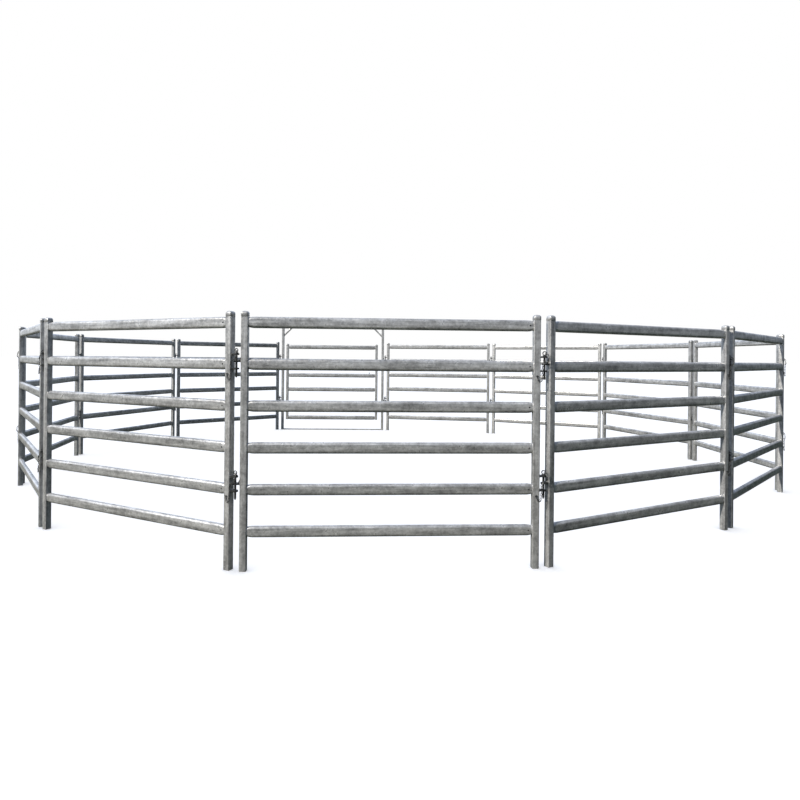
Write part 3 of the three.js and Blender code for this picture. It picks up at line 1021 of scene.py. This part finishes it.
def add_world():
    """White to the camera, and to the steel a pale sky over dark ground.

    The sky is brighter on the sun's side, and behind the yard.
    """
    world = bpy.data.worlds.new("sky")
    world.use_nodes = True
    bpy.context.scene.world = world
    tree = world.node_tree
    nodes, links = tree.nodes, tree.links
    way = nodes.new("ShaderNodeSeparateXYZ")
    links.new(nodes.new("ShaderNodeTexCoord").outputs["Generated"], way.inputs[0])
    rise = nodes.new("ShaderNodeMapRange")
    rise.inputs["From Min"].default_value = -1
    links.new(way.outputs["Z"], rise.inputs["Value"])
    ramp = nodes.new("ShaderNodeValToRGB")
    links.new(rise.outputs["Result"], ramp.inputs[0])
    elements = ramp.color_ramp.elements
    while len(elements) < len(SKY):
        elements.new(0.5)
    for element, (position, colour) in zip(elements, SKY):
        element.position = position
        element.color = (*colour, 1)
    across = nodes.new("ShaderNodeMapRange")
    across.inputs["From Min"].default_value = -1
    across.inputs["To Min"].default_value = SUN_SIDE_SKY
    across.inputs["To Max"].default_value = FAR_SIDE_SKY
    links.new(way.outputs["X"], across.inputs["Value"])
    behind = nodes.new("ShaderNodeMapRange")
    behind.inputs["To Min"].default_value = 1
    behind.inputs["To Max"].default_value = BACK_SKY
    links.new(way.outputs["Y"], behind.inputs["Value"])
    strength = nodes.new("ShaderNodeMath")
    strength.operation = "MULTIPLY"
    links.new(across.outputs["Result"], strength.inputs[0])
    links.new(behind.outputs["Result"], strength.inputs[1])
    seen = nodes["Background"]
    seen.inputs["Color"].default_value = (1, 1, 1, 1)
    sky = nodes.new("ShaderNodeBackground")
    links.new(ramp.outputs["Color"], sky.inputs["Color"])
    links.new(strength.outputs[0], sky.inputs["Strength"])
    choice = nodes.new("ShaderNodeMixShader")
    links.new(nodes.new("ShaderNodeLightPath").outputs["Is Camera Ray"], choice.inputs[0])
    links.new(sky.outputs[0], choice.inputs[1])
    links.new(seen.outputs[0], choice.inputs[2])
    links.new(choice.outputs[0], nodes["World Output"].inputs["Surface"])


def floor_material():
    """White floor to the camera, with a painted contact shadow: its glow dims close to a foot; dull
    ground in what the steel reflects.
    """
    s = Shader("pale_floor")
    nodes, links = s.tree.nodes, s.tree.links
    nodes.remove(s.surface)
    pale = s.node("ShaderNodeBsdfDiffuse", {"Color": FLOOR_WHITE})
    # Painted shadow: ambient occlusion dims the floor's glow close to a foot.
    open_share = s.node("ShaderNodeAmbientOcclusion", {"Distance": PAINTED_SHADOW_REACH}).outputs["AO"]
    strength = s.ramp(open_share, PAINTED_SHADOW_DARKEST_AO, PAINTED_SHADOW_CLEAR_AO, PAINTED_SHADOW_GLOW, GLOW_IN_THE_OPEN)
    glow = s.node("ShaderNodeEmission", {"Color": FLOOR_GLOW, "Strength": strength})
    both = s.node("ShaderNodeAddShader", {0: pale.outputs[0], 1: glow.outputs[0]})
    dull = s.node("ShaderNodeBsdfDiffuse", {"Color": DULL_GROUND})
    view = s.node("ShaderNodeLightPath").outputs["Is Camera Ray"]
    choice = s.node("ShaderNodeMixShader", {0: view, 1: dull.outputs[0], 2: both.outputs[0]})
    links.new(choice.outputs[0], nodes["Material Output"].inputs["Surface"])
    return s.material


def add_floor():
    """Level floor, which is only part of the stage."""
    mesh = bpy.data.meshes.new("floor")
    corners = [(x * FLOOR_REACH, y * FLOOR_REACH, 0) for x, y in ((-1, -1), (1, -1), (1, 1), (-1, 1))]
    mesh.from_pydata(corners, [], [(0, 1, 2, 3)])
    mesh.materials.append(floor_material())
    floor = bpy.data.objects.new("floor", mesh)
    bpy.context.scene.collection.objects.link(floor)
    return floor


def add_sun(floor):
    """Sun from the left and front. It doesn't light the floor, so no shadows fall there."""
    data = bpy.data.lights.new("sun", "SUN")
    data.energy = SUN_STRENGTH
    data.angle = SUN_SPREAD
    data.color = SUN_COLOUR
    sun = bpy.data.objects.new("sun", data)
    bpy.context.scene.collection.objects.link(sun)
    sun.rotation_mode = "QUATERNION"
    sun.rotation_quaternion = SUN_FROM.to_track_quat("Z", "Y")
    unlit = bpy.data.collections.new("not_lit_by_the_sun")
    unlit.objects.link(floor)
    sun.light_linking.receiver_collection = unlit
    unlit.collection_objects[0].light_linking.link_state = "EXCLUDE"


add_camera()
add_world()
add_sun(add_floor())
bpy.context.scene.view_settings.view_transform = "Standard"
add_bays()
